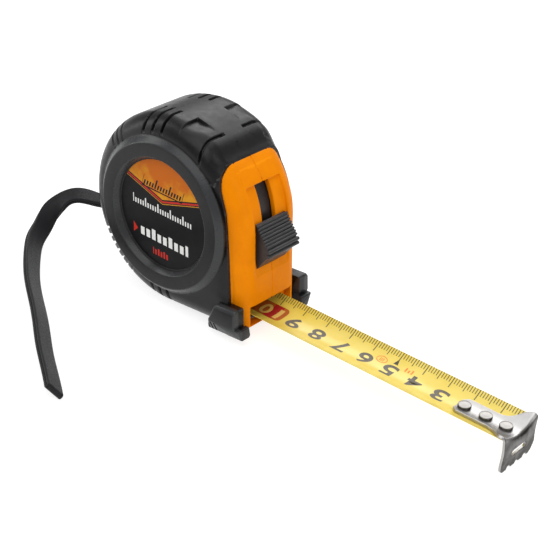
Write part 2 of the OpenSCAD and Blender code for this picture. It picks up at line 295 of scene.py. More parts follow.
def moulded(name, colour, dark, rough, grain, grain_depth, edge=None, edge_share=0.5, rims=False, **settings):
    """Moulded plastic or rubber: fine grain, slight blotches of colour, rubbed edges and, with rims, a
    painted highlight on slanting faces.
    """
    paint = Paint(name, **settings)
    blotch = paint.span(paint.noise(160, 4), 0.35, 0.65)
    base = paint.mix(blotch, dark, colour)
    roughness = paint.span(paint.noise(420, 3), 0.3, 0.7, rough - 0.06, rough + 0.07)
    if edge:
        # the edge colour marks rubbed edges and, with rims, also the painted highlight on slanting faces
        worn = paint.rims(paint.edges()) if rims else paint.edges()
        base = paint.mix(paint.math("MULTIPLY", worn, edge_share), base, edge)
        roughness = paint.math("SUBTRACT", roughness, paint.math("MULTIPLY", worn, 0.12))
    fine = paint.noise(grain, 2, 0.6)
    paint.set(base_color=base, roughness=roughness,
              normal=paint.bump(fine, 0.6, grain_depth, paint.bump(paint.noise(70, 2), 0.25, 0.0001)))
    return paint.material


def metal(name, colour, rough, along=(500, 40, 500), depth=1.5e-6, painted_shade=None):
    """Plated sheet metal with fine drawn lines; painted_shade gives an axis, where it sets in, and its
    colour: a painted darkening of the faces turned along that axis.
    """
    paint = Paint(name, metallic=1.0)
    stretch = paint.node("ShaderNodeMapping", {"Vector": paint.where(), "Scale": along}).outputs[0]
    lines = paint.noise(6, 3, 0.7, stretch)
    spots = paint.span(paint.noise(260, 4), 0.4, 0.7)
    base = paint.mix(spots, colour, tuple(0.9 * c for c in colour))
    if painted_shade:
        axis, low, high, tone = painted_shade
        # painted shade: faces turned along the axis are darkened towards the given colour, broken up by noise
        normal = paint.node("ShaderNodeNewGeometry").outputs["Normal"]
        facing = paint.node("ShaderNodeVectorMath", {0: normal, 1: axis}, operation="DOT_PRODUCT")
        shade = paint.span(facing.outputs["Value"], low, high)
        streak = paint.span(paint.noise(230, 2), 0.3, 0.6, 0.65, 1.0)
        base = paint.mix(paint.math("MULTIPLY", shade, streak), base, tone)
    paint.set(base_color=base, roughness=paint.span(lines, 0.3, 0.7, rough - 0.03, rough + 0.04),
              normal=paint.bump(lines, 0.3, depth))
    return paint.material


# -------------- camera, floor and light
AZIMUTH, ELEVATION, ROLL = radians(39.770), radians(27.614), radians(0.706)
CAMERA_AT = (0.30869, -0.35513, 0.29070)
LENS, SENSOR = 100.166, 36.0
FLOOR_HALF, FLOOR_GLOW, WORLD_GLOW = 6.0, 0.8, 0.38
LIGHT_TARGET = Vector((0.03, -0.01, 0.03))
LIGHTS = (("key", (0.05, -0.55, 0.85), (0.9, 0.7), 3.6),
          ("top", (-0.1, 0.15, 0.95), (0.8, 0.8), 2.9),
          ("front_strip", (0.85, -0.1, 0.45), (0.25, 0.9), 2.2),
          ("back_strip", (-0.3, 0.8, 0.72), (1.2, 0.5), 6.2),
          ("left_strip", (-0.75, -0.35, 0.4), (0.25, 0.8), 2.0))


def camera():
    back = Vector((cos(ELEVATION) * sin(AZIMUTH), -cos(ELEVATION) * cos(AZIMUTH), sin(ELEVATION)))
    level = Vector((cos(AZIMUTH), sin(AZIMUTH), 0))
    rise = back.cross(level)
    right = level * cos(ROLL) + rise * sin(ROLL)
    up = rise * cos(ROLL) - level * sin(ROLL)
    turn = TILT.to_3x3() @ Matrix((right, up, back)).transposed()
    data = bpy.data.cameras.new("camera")
    data.lens, data.sensor_width = LENS, SENSOR
    data.clip_start, data.clip_end = 0.01, 20
    thing = bpy.data.objects.new("camera", data)
    thing.matrix_world = Matrix.Translation(CAMERA_AT) @ turn.to_4x4()
    bpy.context.scene.collection.objects.link(thing)
    bpy.context.scene.camera = thing


def light(name, place, size, power):
    """White rectangle of light, aimed at the part."""
    data = bpy.data.lights.new(name, "AREA")
    data.shape, data.size, data.size_y = "RECTANGLE", size[0], size[1]
    data.energy = power
    thing = bpy.data.objects.new(name, data)
    thing.location = place
    thing.rotation_euler = (LIGHT_TARGET - Vector(place)).to_track_quat("-Z", "Y").to_euler()
    bpy.context.scene.collection.objects.link(thing)


def studio():
    h = FLOOR_HALF
    floor = mesh_object("floor", [(-h, -h, 0), (h, -h, 0), (h, h, 0), (-h, h, 0)], [(0, 1, 2, 3)])
    paint = Paint("floor_paper")
    grey = paint.mix(paint.noise(30), (0.34, 0.34, 0.34), (0.36, 0.36, 0.36))
    paint.set(base_color=grey, roughness=0.9, emission_color=(1, 1, 1, 1), emission_strength=FLOOR_GLOW)
    floor.data.materials.append(paint.material)
    for name, place, size, power in LIGHTS:
        light(name, place, size, power)
    world = bpy.data.worlds.new("studio")
    world.use_nodes = True
    background = world.node_tree.nodes["Background"].inputs
    background["Color"].default_value = (1, 1, 1, 1)
    background["Strength"].default_value = WORLD_GLOW
    bpy.context.scene.world = world
    bpy.context.scene.view_settings.view_transform = "Standard"


camera()
studio()

# -------------- wrist strap
STRAP_ROUTE = [(-28.3, 0, 19.5), (-31.5, 0, 19.1), (-34.5, -0.5, 18.4), (-39, -1.5, 17.5),
               (-43.5, -2.5, 16.5), (-47, -3.5, 16.5), (-50.5, -4.5, 16.5), (-53.5, -6, 16),
               (-56, -7.5, 14.5), (-58, -9.5, 12), (-59, -12, 10), (-59, -14.5, 7.5), (-58, -17, 5.6),
               (-57, -20, 4.3), (-55, -24, 3.6), (-51.5, -28, 3.5), (-46.5, -33, 3.4), (-37.5, -41.5, 3.4),
               (-28, -48.5, 3.4), (-18.5, -55, 3.4), (-10, -61.5, 3.4), (-2, -68, 3.4), (6, -73.5, 3.4),
               (14, -79, 3.4), (18, -82, 3.4)]
STRAP_LEAN = ((0, 0), (0.2, 0), (0.5, -42), (0.7, -50), (1, -48))
STRAP_STEPS, STRAP_SMOOTHING = 8, 45


def smooth_route(route, steps):
    """Catmull-Rom curve through the route's points."""
    p = np.array(route, float)
    p = np.vstack([p[:1], p, p[-1:]])
    out = []
    for i in range(len(route) - 1):
        a, b, c, d = p[i:i + 4]
        for k in range(steps):
            t = k / steps
            out.append(0.5 * (2 * b + (c - a) * t + (2 * a - 5 * b + 4 * c - d) * t * t
                              + (3 * b - a - 3 * c + d) * t ** 3))
    out.append(np.array(route[-1], float))
    return np.array(out)


def strap_frames():
    """Middle line of the strap, with its directions along, across and out of its face."""
    line = smooth_route(STRAP_ROUTE, STRAP_STEPS)
    for _ in range(STRAP_SMOOTHING):
        line[1:-1] = (line[:-2] + 2 * line[1:-1] + line[2:]) / 4
    along = np.gradient(line, axis=0)
    along /= np.linalg.norm(along, axis=1)[:, None]
    share = np.linspace(0, 1, len(line))
    lean = np.radians(np.interp(share, *np.array(STRAP_LEAN).T))[:, None]
    flat = np.cross((0, 0, 1.0), along)
    flat /= np.linalg.norm(flat, axis=1)[:, None]
    across = np.cos(lean) * flat + np.sin(lean) * np.cross(along, flat)
    return line, along, across, np.cross(along, across)


def band_section():
    """Half width and half thickness factors round a woven band, with a rolled selvedge."""
    side = [(0.96, 0.92), (1.0, 0.45), (1.0, -0.45), (0.96, -0.92)]
    flat = [(x, -1.0) for x in np.linspace(0.9, -0.9, 13)]
    return side + flat + [(-a, -b) for a, b in side] + [(-x, 1.0) for x in np.linspace(0.9, -0.9, 13)]


def with_uv(thing, uv):
    layer = thing.data.uv_layers.new(name="UVMap")
    for loop in thing.data.loops:
        layer.data[loop.index].uv = uv[loop.vertex_index]
    return thing


def webbing():
    """Woven nylon: twill ribs across the band, two lengthwise tracks and loose fibres."""
    paint = Paint("webbing", specular_ior_level=0.15, sheen_weight=0.05, sheen_roughness=0.4)
    place = paint.node("ShaderNodeUVMap").outputs[0]
    parts = paint.node("ShaderNodeSeparateXYZ", {0: place})
    u, v = parts.outputs[0], parts.outputs[1]
    zigzag = paint.math("PINGPONG", v, 1.3)
    weft = paint.math("SINE", paint.math("MULTIPLY", paint.math("ADD", u, zigzag), 2 * pi / 0.75))
    warp = paint.math("SINE", paint.math("MULTIPLY", v, 2 * pi / 0.62))
    weave = paint.math("ADD", paint.math("MULTIPLY", weft, 0.75), paint.math("MULTIPLY", warp, 0.25))
    fuzz = paint.noise(2600, 2)
    tone = paint.span(paint.math("ADD", weave, paint.math("MULTIPLY", fuzz, 1.2)), -0.6, 1.6)
    paint.set(base_color=paint.mix(tone, (0.006, 0.006, 0.007), (0.014, 0.014, 0.016)),
              roughness=paint.span(fuzz, 0.3, 0.7, 0.38, 0.6),
              normal=paint.bump(weave, 0.6, 0.00004, paint.bump(fuzz, 0.3, 0.00002)))
    return paint.material


def wrist_strap():
    """One band, looped round its bar and laid double, with its two layers parting near the bar."""
    line, along, across, upward = strap_frames()
    layer, half_gap, parting, parting_len = 0.98, 0.56, 0.75, 9.0
    spread = 1.0 - np.clip(np.linalg.norm(line - line[0], axis=1) / parting_len, 0, 1)
    lift = half_gap + parting * spread ** 2 * (3 - 2 * spread)
    bar = TILT @ Vector((BAR_AT * cos(BAR_ANGLE), 0, BAR_AT * sin(BAR_ANGLE))) + Vector((0, 0, CASE_R))
    start = atan2(*(line[0] + upward[0] * lift[0] - np.array(bar))[[2, 0]])
    end = atan2(*(line[0] - upward[0] * lift[0] - np.array(bar))[[2, 0]])
    if end < 0:
        end += 2 * pi
    loop_r = BAR_R + half_gap
    turns = np.linspace(end - 2 * pi if end > start else end, start, 17)
    rings = []
    for t in turns:
        out = np.array((cos(t), 0, sin(t)))
        rings.append((np.array(bar) + out * loop_r, np.array((0, 1.0, 0)), -out))
    for k in range(1, len(line)):
        rings.append((line[k] + upward[k] * lift[k], across[k], -upward[k]))
    for t in np.linspace(0, pi, 9)[1:-1]:
        out = upward[-1] * cos(t) + along[-1] * sin(t)
        rings.append((line[-1] + out * half_gap, across[-1], -out))
    for k in range(len(line) - 1, 0, -1):
        rings.append((line[k] - upward[k] * lift[k], across[k], upward[k]))
    section = band_section()
    points, uv, run = [], [], 0.0
    for i, (centre, side, inward) in enumerate(rings):
        run += float(np.linalg.norm(centre - rings[i - 1][0])) if i else 0.0
        for a, b in section:
            points.append(centre + side * a * STRAP_W / 2 + inward * b * layer / 2)
            uv.append((run, a * STRAP_W / 2))
    faces = grid_faces(len(rings), len(section), close_rows=True, close_columns=True)
    thing = with_uv(mesh_object("wrist_strap_band", points, faces), uv)
    outward(thing, merge=False)
    thing.data.transform(Matrix.Scale(0.001, 4))
    thing.data.shade_smooth()
    thing.data.set_sharp_from_angle(angle=radians(60))
    thing.data.materials.append(webbing())
    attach(thing, "case")
    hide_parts("wrist_strap")
    return thing


wrist_strap()


# -------------- rubber jacket
SEAM_Z = (-24, -6, 3, 8, 12.2, 14.8, 16.8, 19, 24)
SEAM_X = (28.7, 28.2, 27.8, 27.3, 26.0, 25.0, 24.5, 24.1, 24.0)
TOP_END, SIDE_END = 16.7, 16.9
TOP_GROOVES, TOP_DEPTH = ((-8.1, 5.2), (-4.0, 5.9), (0.2, 6.7)), 1.3
BAY_DEPTH, SHOULDER_DEPTH = 1.1, 1.0
FRONT_GROOVE_X, FRONT_DEPTH = 16.9, 1.1
BACK_GROOVES, BACK_DEPTH = (128.0, 133.5, 139.0), 0.7
TREAD_FROM, TREAD_TO, TREAD_PITCH, TREAD_DEPTH = -158, -121, 5.3, 0.85
BASE_NOTCHES, BASE_DEPTH = (-6.0, -2.4, 1.2), 1.0
RING_PROFILE = ((28.1, 17.1), (27.6, 17.6), (26.35, 18.9), (26.1, 19.12), (25.8, 19.26), (25.4, 19.3),
                (21.6, 19.3), (21.3, 19.26), (21.1, 19.12), (20.0, 16.95), (19.75, 16.95), (19.6, 16.8),
                (19.6, 15.3), (20.4, 15.22))
SCREW_TURNS, SCREW_AT, SCREW_WELL_R = (55, 115, 175, 235), 27.6, 2.5


def seam_x(z):
    """Where the jacket's front edge lies at height z."""
    return np.interp(z, SEAM_Z, SEAM_X)


def outline(inset, corner=3.0):
    """Side outline of the D-shaped body, drawn in by inset: x and z of each point."""
    round_steps, flat_steps = 810, 70
    r = CASE_R - inset
    rc = max(corner - inset, 0.25)
    turn = np.radians(np.linspace(0, 270, round_steps + 1))
    back = np.stack([r * np.cos(turn), r * np.sin(turn)], 1)
    base_x = np.linspace(0, r - rc, flat_steps + 1)[1:]
    base = np.stack([base_x, np.full(flat_steps, -r)], 1)
    turn = np.radians(np.linspace(270, 360, 8))[1:-1]
    nook = np.stack([r - rc + rc * np.cos(turn), -(r - rc) + rc * np.sin(turn)], 1)
    front_z = np.linspace(-(r - rc), 0, flat_steps + 1)[:-1]
    front = np.stack([np.full(flat_steps, r), front_z], 1)
    return np.vstack([back, base, nook, front])


def circle_like(points, radius):
    """The points, moved in or out to one radius."""
    turn = np.arctan2(points[:, 1], points[:, 0])
    return np.stack([radius * np.cos(turn), radius * np.sin(turn)], 1)


def ease(value, low, high):
    """0 below low, 1 above high, and a smooth step between them."""
    t = np.clip((value - low) / (high - low), 0, 1)
    return t * t * (3 - 2 * t)


def band(value, half, soft):
    """1 within half of zero, with soft edges."""
    return 1 - ease(np.abs(value), half - soft, half + soft)


def span(value, low, high, soft):
    """1 from low to high, with soft edges."""
    return ease(value, low - soft, low + soft) * (1 - ease(value, high - soft, high + soft))


def relief(x, y, z):
    """Depth of the grip pattern under the smooth jacket, in millimetres."""
    turn = np.degrees(np.arctan2(z, x))
    top = ease(z, 14, 16)
    depth = np.zeros_like(x)
    for groove_x, inner_y in TOP_GROOVES:
        groove = band(x - groove_x, 0.55, 0.14) * span(y, inner_y, TOP_END, 0.25)
        depth = np.maximum(depth, TOP_DEPTH * groove * top)
    bay = ease(x, 6.9, 7.4) * (1 - ease(x, 8.5, 15.5)) * ease(y, 6.1, 6.6) * (1 - ease(y, 10.5, 16.2))
    depth = np.maximum(depth, BAY_DEPTH * bay * top)
    groove = band(x - FRONT_GROOVE_X, 0.45, 0.14) * span(y, 4.6, SIDE_END, 0.25)
    depth = np.maximum(depth, FRONT_DEPTH * groove * top)
    shoulder = 1 - ease(seam_x(z) - x, 0.2, 3.4 + 2.4 * ease(z, 12, 20))
    depth = np.maximum(depth, SHOULDER_DEPTH * shoulder * ease(z, -26, -22) * ease(x, 12, 16))
    for groove_turn in BACK_GROOVES:
        groove = band(turn - groove_turn, 0.8, 0.35) * span(y, 11.5, SIDE_END, 0.3)
        depth = np.maximum(depth, BACK_DEPTH * groove)
    tread = span(turn, TREAD_FROM, TREAD_TO, 0.4)
    tooth = np.mod(turn - TREAD_FROM, TREAD_PITCH) / TREAD_PITCH
    depth = np.maximum(depth, TREAD_DEPTH * tread * ease(tooth, 0.6, 0.68) * (1 - ease(tooth, 0.92, 1.0)))
    for notch_x in BASE_NOTCHES:
        notch = band(x - notch_x, 0.6, 0.2) * span(y, 12.6, 17.3, 0.3)
        depth = np.maximum(depth, BASE_DEPTH * notch * (z < -20))
    return depth


def jacket_rows():
    """Closed section of the jacket from the middle seam, over the ring, to the inside and back."""
    rows = [(outline(0), y) for y in np.linspace(0, JACKET_Y - JACKET_ROUND, 27)]
    last = radians(81.8)
    for a in np.linspace(0, last, 30)[1:]:
        rows.append((outline(JACKET_ROUND * (1 - cos(a))), JACKET_Y - JACKET_ROUND + JACKET_ROUND * sin(a)))
    edge = outline(JACKET_ROUND * (1 - cos(last)))
    foot = circle_like(edge, RING_R)
    for share in (0.33, 0.66, 1.0):
        rows.append((edge * (1 - share) + foot * share, 16.93 + 0.05 * share))
    carved = len(rows)
    for r, y in RING_PROFILE:
        rows.append((circle_like(edge, r), y))
    inset, inner_y, inner_round = JACKET_T + 0.02, 8.82, 6.4
    for a in np.linspace(pi / 2, 0, 9):
        rows.append((outline(inset + inner_round * (1 - cos(a))), inner_y + inner_round * sin(a)))
    rows += [(outline(inset), y) for y in (6, 3, 0)]
    return rows, carved


def jacket_surface():
    """Half of the jacket, with the grip pattern carved along its outer surface's normals."""
    rows, carved = jacket_rows()
    grid = np.array([[(x, y, z) for x, z in flat] for flat, y in rows])
    along = np.roll(grid, -1, axis=1) - np.roll(grid, 1, axis=1)
    over = np.gradient(grid[:carved + 2], axis=0)
    normal = np.cross(over, along[:carved + 2])
    size = np.linalg.norm(normal, axis=2, keepdims=True)
    normal = normal / np.maximum(size, 1e-9)
    outer = grid[:carved]
    middle = np.array((0, 8.0, 0))
    flip = np.sign(np.sum(normal[:carved] * (outer - middle), axis=2, keepdims=True))
    depth = relief(outer[..., 0], outer[..., 1], outer[..., 2])[..., None]
    grid[:carved] = outer - normal[:carved] * flip * depth
    count = grid.shape[1]
    return outward(mesh_object("jacket", grid.reshape(-1, 3), grid_faces(len(rows), count, True, True)))


def nose_cutter():
    """The space in front of the jacket's edge, which the orange nose fills."""
    far_x, half = 50, 20
    rings = []
    for z in np.concatenate([[-45], np.linspace(-24, 24, 49), [45]]):
        x = float(seam_x(z))
        rings.append([(x, -half, z), (far_x, -half, z), (far_x, half, z), (x, half, z)])
    return capped_sweep("nose_cutter", rings)


def box(name, low, high):
    return prism(name, [(low[0], low[2]), (high[0], low[2]), (high[0], high[2]), (low[0], high[2])],
                 low[1], high[1])


def jacket_foot():
    """Foot beside the blade's mouth: slanted rear, upright side, lower bevel with grooves, and a toe."""
    front, toe_back, toe_front = 34.2, 29, 36.0
    groove_x, groove_w, pitch, grooves = 21.6, 0.65, 1.5, 3
    section = [(12.6, -25.6), (14.2, -24.2), (18.6, -24.0), (19.6, -25.2), (19.8, -30.4), (17.4, -35.2),
               (13.4, -35.4), (12.5, -33.8)]
    rear = [(float(np.interp(z, (-35, -24), (20.3, 25.4))), y, z) for y, z in section]
    foot = bevel(capped_sweep("foot", [rear, [(front, y, z) for y, z in section]]), 0.9)
    toe = [(12.9, -34.4), (13.6, -31.0), (19.3, -31.0), (17.3, -35.35), (13.5, -35.35)]
    toe = bevel(capped_sweep("toe", [[(x, y, z) for y, z in toe] for x in (toe_back, toe_front)]), 0.65)
    boolean(foot, toe, "UNION")
    for k in range(grooves):
        x = groove_x + pitch * k
        boolean(foot, box("cut", (x, 17.2, -37), (x + groove_w, 22, -31.2)))
    room = box("room", (10, -1, -34.52), (NOSE_X + 0.02, NOSE_Y + 0.02, 0))
    return boolean(foot, room)


def rubber():
    # edge colour: rubbed edges plus a painted highlight on the ring and foot bevels
    return moulded("rubber", (0.006, 0.006, 0.0065), (0.004, 0.004, 0.0045), 0.33, 3200, 0.00003,
                   edge=(0.1, 0.103, 0.108), edge_share=0.4, rims=True, specular_ior_level=0.26)


def jackets():
    """Both halves of the jacket; only the far one has wells for the case screws."""
    mouth_y, mouth_low, mouth_high, eye_y = 10.4, -33.4, -25.9, 4.9
    far = jacket_surface()
    boolean(far, nose_cutter())
    boolean(far, jacket_foot(), "UNION")
    boolean(far, box("mouth", (4, -mouth_y, mouth_low), (50, mouth_y, mouth_high)))
    strap_eye = [(-33.9, -9.0), (-30.6, -17.0), (-24, -14), (-27.5, -6.2)]
    boolean(far, prism("eye", strap_eye, -eye_y, eye_y))
    near = mirrored(far, "jacket_near")
    far.name = "jacket_far"
    for turn in SCREW_TURNS:
        well = lathe("well", [(0, -6), (SCREW_WELL_R, -6), (SCREW_WELL_R, 6), (0, 6)], 32)
        spot = (SCREW_AT * cos(radians(turn)), 18, SCREW_AT * sin(radians(turn)))
        well.data.transform(Matrix.Translation(spot) @ Matrix.Rotation(-pi / 2, 4, "X"))
        boolean(far, well)
    skin = rubber()
    finish_piece(near, "case", skin, ["grip_right"], sharp=50)
    finish_piece(far, "case", skin, ["grip_left"], sharp=50)


jackets()


# -------------- orange shells
def nose_body(low, high, z_low, z_high):
    """Slice of the nose's full round form between two widths and two heights."""
    wide, round_r, shift = 15.3, 7.0, -1.0
    rings = []
    for y in np.concatenate([np.linspace(0, wide - round_r, 6), wide - round_r
                             + round_r * np.sin(np.radians(np.linspace(5, 88, 16)))]):
        inset = 0.3 + round_r - sqrt(max(round_r ** 2 - max(y - wide + round_r, 0) ** 2, 0))
        rings.append([(x, y, z + shift) for x, z in outline(inset)[::3]])
    body = capped_sweep("nose_body", rings)
    for vertex in body.data.vertices:
        vertex.co.y *= np.interp(vertex.co.z, (-8, 6), (14.5 / wide, 1.0))
    boolean(body, nose_cutter(), "INTERSECT")
    return boolean(body, box("slice", (15, low, z_low), (40, high, z_high)), "INTERSECT")


def shape_front(front, far):
    """Wider shoulders, a panel that ends at the slot's top and fades out under the button.

    What would lie under the jacket is cut off again, so that the orange ends at the jacket's edge.
    """
    panel_y, panel_top, slot_y = 8.4, 15.5, 3.4
    ramp_x, ramp_front, ramp_z = 31.5, NOSE_X - 0.06, -15.9
    wide, over = 20, panel_y + 0.2
    fills = [nose_body(panel_y + 0.1, wide, -10, 30), nose_body(0.02, over, panel_top, 18)]
    ramp = [(ramp_x, -8.5), (PANEL_R, -8.5), (ramp_front, ramp_z), (ramp_x, ramp_z)]
    ramp = prism("ramp", ramp, 3.42, over)
    fills.append(boolean(ramp, box("keep", (30, 0, -16), (40, wide, 0)), "INTERSECT"))
    ramp = [(ramp_x, -12.6), (33.7, -12.6), (ramp_front, ramp_z), (ramp_x, ramp_z)]
    fills.append(prism("ramp", ramp, 0.02, 3.5))
    cheek = nose_body(panel_y + 0.1, wide, -32, -9.9)
    fills.append(boolean(cheek, box("keep", (20, 0, -40), (30.4, wide, 0)), "INTERSECT"))
    for fill in fills:
        if not far:
            fill.data.transform(Matrix.Scale(-1, 4, (0, 1, 0)))
            fill.data.flip_normals()
        boolean(front, fill, "UNION")
    under_r = 32.25
    hidden = [(under_r * cos(radians(t)), under_r * sin(radians(t))) for t in np.linspace(41.6, 62, 12)]
    boolean(front, prism("hidden", hidden + [(15.2, 36), (hidden[0][0], 36)], -wide, wide))
    low_y, high_y = (0, slot_y) if far else (-slot_y, 0)
    boolean(front, box("slot", (24, low_y, 12), (40, high_y, panel_top - 0.05)))


def shell(name, node, skin):
    """The CAD half shell, its bare front reshaped and rounded on every edge as a moulding has them."""
    cut_x, reach, voxel, rounds = 19.0, 60, 0.22, 10
    parts = []
    for low, high in ((cut_x, reach), (-reach, cut_x)):
        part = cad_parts[node].copy()
        part.data = part.data.copy()
        bpy.context.scene.collection.objects.link(part)
        part.data.transform(TO_ROW.inverted())
        parts.append(boolean(part, box("rest", (low, -30, -50), (high, 30, 50))))
    rear, front = parts
    shape_front(front, node == "case_left")
    soften(front, voxel, rounds)
    piece = join([rear, front], name)
    return finish_piece(piece, "case", skin, [node], sharp=40)


def shells():
    skin = moulded("orange_shell", (0.8, 0.232, 0.0), (0.74, 0.208, 0.0), 0.45, 2800, 0.00003,
                   edge=(0.95, 0.34, 0.01), edge_share=0.3, specular_ior_level=0.05)
    shell("shell_near", "case_right", skin)
    shell("shell_far", "case_left", skin)


shells()


# -------------- labels
def label_print():
    """Orange field over a shallow V, fine stripes, then black with scale ticks and bars."""
    paint = Paint("label_print", specular_ior_level=0.08, coat_weight=0.05, coat_roughness=0.12)
    m = paint.math
    parts = paint.node("ShaderNodeSeparateXYZ", {0: paint.node("ShaderNodeUVMap").outputs[0]})
    u, v = parts.outputs[0], parts.outputs[1]
    left_arm, right_arm, vertex = -0.404, 0.234, 5.58
    chevron = m("MAXIMUM", m("MULTIPLY", u, left_arm), m("MULTIPLY", u, right_arm))
    above = m("SUBTRACT", m("SUBTRACT", v, vertex), chevron)
    tilted = m("ADD", v, m("MULTIPLY", u, 0.09))

    def inside(value, low, high):
        return m("MULTIPLY", m("GREATER_THAN", value, low), m("LESS_THAN", value, high))

    def ticks(low, high, tall, ends, pitch, duty, every, lean=0.0):
        """Row of ticks between two heights; each one in every is taller."""
        along = m("SUBTRACT", u, m("MULTIPLY", m("SUBTRACT", tilted, low), lean))
        fine = m("LESS_THAN", m("FRACT", m("DIVIDE", m("ADD", along, 60), pitch)), duty)
        major = m("LESS_THAN", m("FRACT", m("DIVIDE", m("ADD", along, 60), pitch * every)), duty / every)
        top = m("ADD", high, m("MULTIPLY", major, tall))
        rows = m("MULTIPLY", m("GREATER_THAN", tilted, low), m("LESS_THAN", m("SUBTRACT", tilted, top), 0))
        return m("MULTIPLY", m("MULTIPLY", fine, rows), inside(along, *ends))

    blotch = paint.noise(220, 3)
    warm = paint.mix(paint.span(m("ADD", blotch, m("MULTIPLY", above, -0.05)), 0.2, 0.6),
                     (0.5, 0.115, 0.004), (0.6, 0.26, 0.008))
    black = paint.mix(blotch, (0.004, 0.004, 0.005), (0.009, 0.009, 0.01))
    red, white, ink = (0.5, 0.025, 0.015), (0.72, 0.72, 0.7), (0.01, 0.009, 0.008)
    base = paint.mix(m("GREATER_THAN", above, 0.0), black, warm)
    base = paint.mix(inside(above, -1.15, -0.5), base, red)
    base = paint.mix(inside(above, -1.75, -1.5), base, warm)
    base = paint.mix(ticks(8.3, 10.1, 1.7, (-9.5, 9.0), 1.25, 0.55, 5, 0.35), base, ink)
    base = paint.mix(m("MULTIPLY", inside(tilted, 7.5, 8.0), inside(u, -9.5, 9.0)), base, ink)
    base = paint.mix(ticks(-0.1, 1.7, 1.4, (-13.8, 13.2), 1.15, 0.5, 5), base, white)
    base = paint.mix(ticks(-11.2, -8.2, 0.9, (-10.8, 11.4), 2.6, 0.66, 3), base, white)
    arrow = m("ADD", m("ABSOLUTE", m("ADD", tilted, 9.6)), m("ADD", u, 12.6))
    base = paint.mix(m("MULTIPLY", m("LESS_THAN", arrow, 0.6), m("GREATER_THAN", u, -14.0)), base, red)
    base = paint.mix(ticks(-16.4, -14.4, 0.5, (-5.0, 2.2), 1.3, 0.6, 2), base, red)
    paint.set(base_color=base, roughness=paint.span(paint.noise(500, 3), 0.3, 0.7, 0.32, 0.45),
              normal=paint.bump(paint.noise(1500, 2), 0.2, 0.00001))
    return paint.material


def label(name, node, side, skin, holes=()):
    """Printed disc on one side; holes are heights and radii of what is cut out of it."""
    radius, thick = LABEL_R + 0.85, 0.25
    profile = [(0.0, thick), (6, thick), (12, thick), (radius - 0.12, thick), (radius, thick - 0.1),
               (radius, 0), (0, 0)]
    thing = lathe(name, profile, 160)
    turn = Matrix.Rotation(pi / 2 * -side, 4, "X")
    thing.data.transform(Matrix.Translation((0, side * LABEL_Y, 0)) @ turn)
    for z, r in holes:
        drill = lathe("drill", [(0, 10), (r, 10), (r, 25), (0, 25)], 32)
        drill.data.transform(Matrix.Translation((0, 0, z)) @ turn)
        boolean(thing, drill)
    outward(thing)
    with_uv(thing, [(-side * p.co.x, p.co.z) for p in thing.data.vertices])
    return finish_piece(thing, "case", skin, [node])


def labels():
    skin = label_print()
    label("label_near", "label_right", -1, skin)
    label("label_far", "label_left", 1, skin, ((0, 2.4), (11, 1.4)))


labels()


# -------------- blade lock
def lock():
    """Thumb button: a wedge with fine ribs up its face and two thick ones at its tip."""
    top, tip, low = (33.5, 3.0), (38.7, -4.7), (32.95, -13.5)
    half, body_y, ribs = BUTTON_W / 2, BUTTON_W / 2 - 0.4, 8
    wedge = [(32.95, 3.4), top, tip, (38.9, -6.2), (38.0, -7.4), low]
    body = prism("lock_button_ribbed", wedge, -body_y, body_y)
    boolean(body, box("stem", (30.45, -3.15, -8.4), (33.4, 3.15, 1.4)), "UNION")
    rounds = []
    for k in range(ribs):
        share = 0.03 + 0.83 * k / (ribs - 1)
        centre = (top[0] + (tip[0] - top[0]) * share + 0.13, top[1] + (tip[1] - top[1]) * share + 0.09)
        rounds.append((centre, 0.46, 12))
    for centre, radius, steps in rounds + [((38.85, -4.9), 0.66, 16), ((38.8, -6.5), 0.66, 16)]:
        rib = prism("rib", arc(centre, radius, 0, 2 * pi, steps)[:-1], -half, half)
        boolean(body, rib, "UNION")
    soften(body, 0.11, 3)
    skin = moulded("button_plastic", (0.021, 0.021, 0.022), (0.014, 0.014, 0.015), 0.42, 3600, 0.00002,
                   edge=(0.06, 0.06, 0.062), edge_share=0.5)
    finish_piece(body, "lock", skin, ["lock_button"])


lock()


# -------------- blade and its printing
def cup_ring(x, half, low, high, steps=30):
    """Section across the cupped blade, between two heights over its upper face."""
    turn = asin(half / CUP_R)
    angles = [-turn + 2 * turn * k / steps for k in range(steps + 1)]
    upper = [(x, (CUP_R - high) * sin(a), CUP_R - (CUP_R - high) * cos(a)) for a in angles]
    lower = [(x, (CUP_R - low) * sin(a), CUP_R - (CUP_R - low) * cos(a)) for a in angles]
    return upper + lower[::-1]


def upright(x, half, low, high):
    """Outline of a bar across the blade."""
    return [(x - half, low), (x + half, low), (x + half, high), (x - half, high)]


def strip(name, start, end, low, high, half=BLADE_W / 2):
    return capped_sweep(name, [cup_ring(x, half, low, high) for x in (start, end)])


def blade_paint():
    """Enamelled steel: warm yellow, slightly mottled, under a clear coat with fine scratches."""
    paint = Paint("blade_paint", coat_weight=0.5, coat_roughness=0.18)
    mottle = paint.span(paint.noise(120, 4), 0.35, 0.65)
    stretch = paint.node("ShaderNodeMapping", {"Vector": paint.where(), "Scale": (30, 900, 30)})
    scratch = paint.noise(14, 3, 0.7, stretch)
    base = paint.mix(mottle, (0.74, 0.555, 0.06), (0.78, 0.61, 0.1))
    worn = paint.math("MULTIPLY", paint.span(scratch, 0.66, 0.74), 0.25)
    paint.set(base_color=paint.mix(worn, base, (0.7, 0.6, 0.25)),
              roughness=paint.span(scratch, 0.3, 0.7, 0.32, 0.5), normal=paint.bump(scratch, 0.2, 0.000008))
    return paint.material


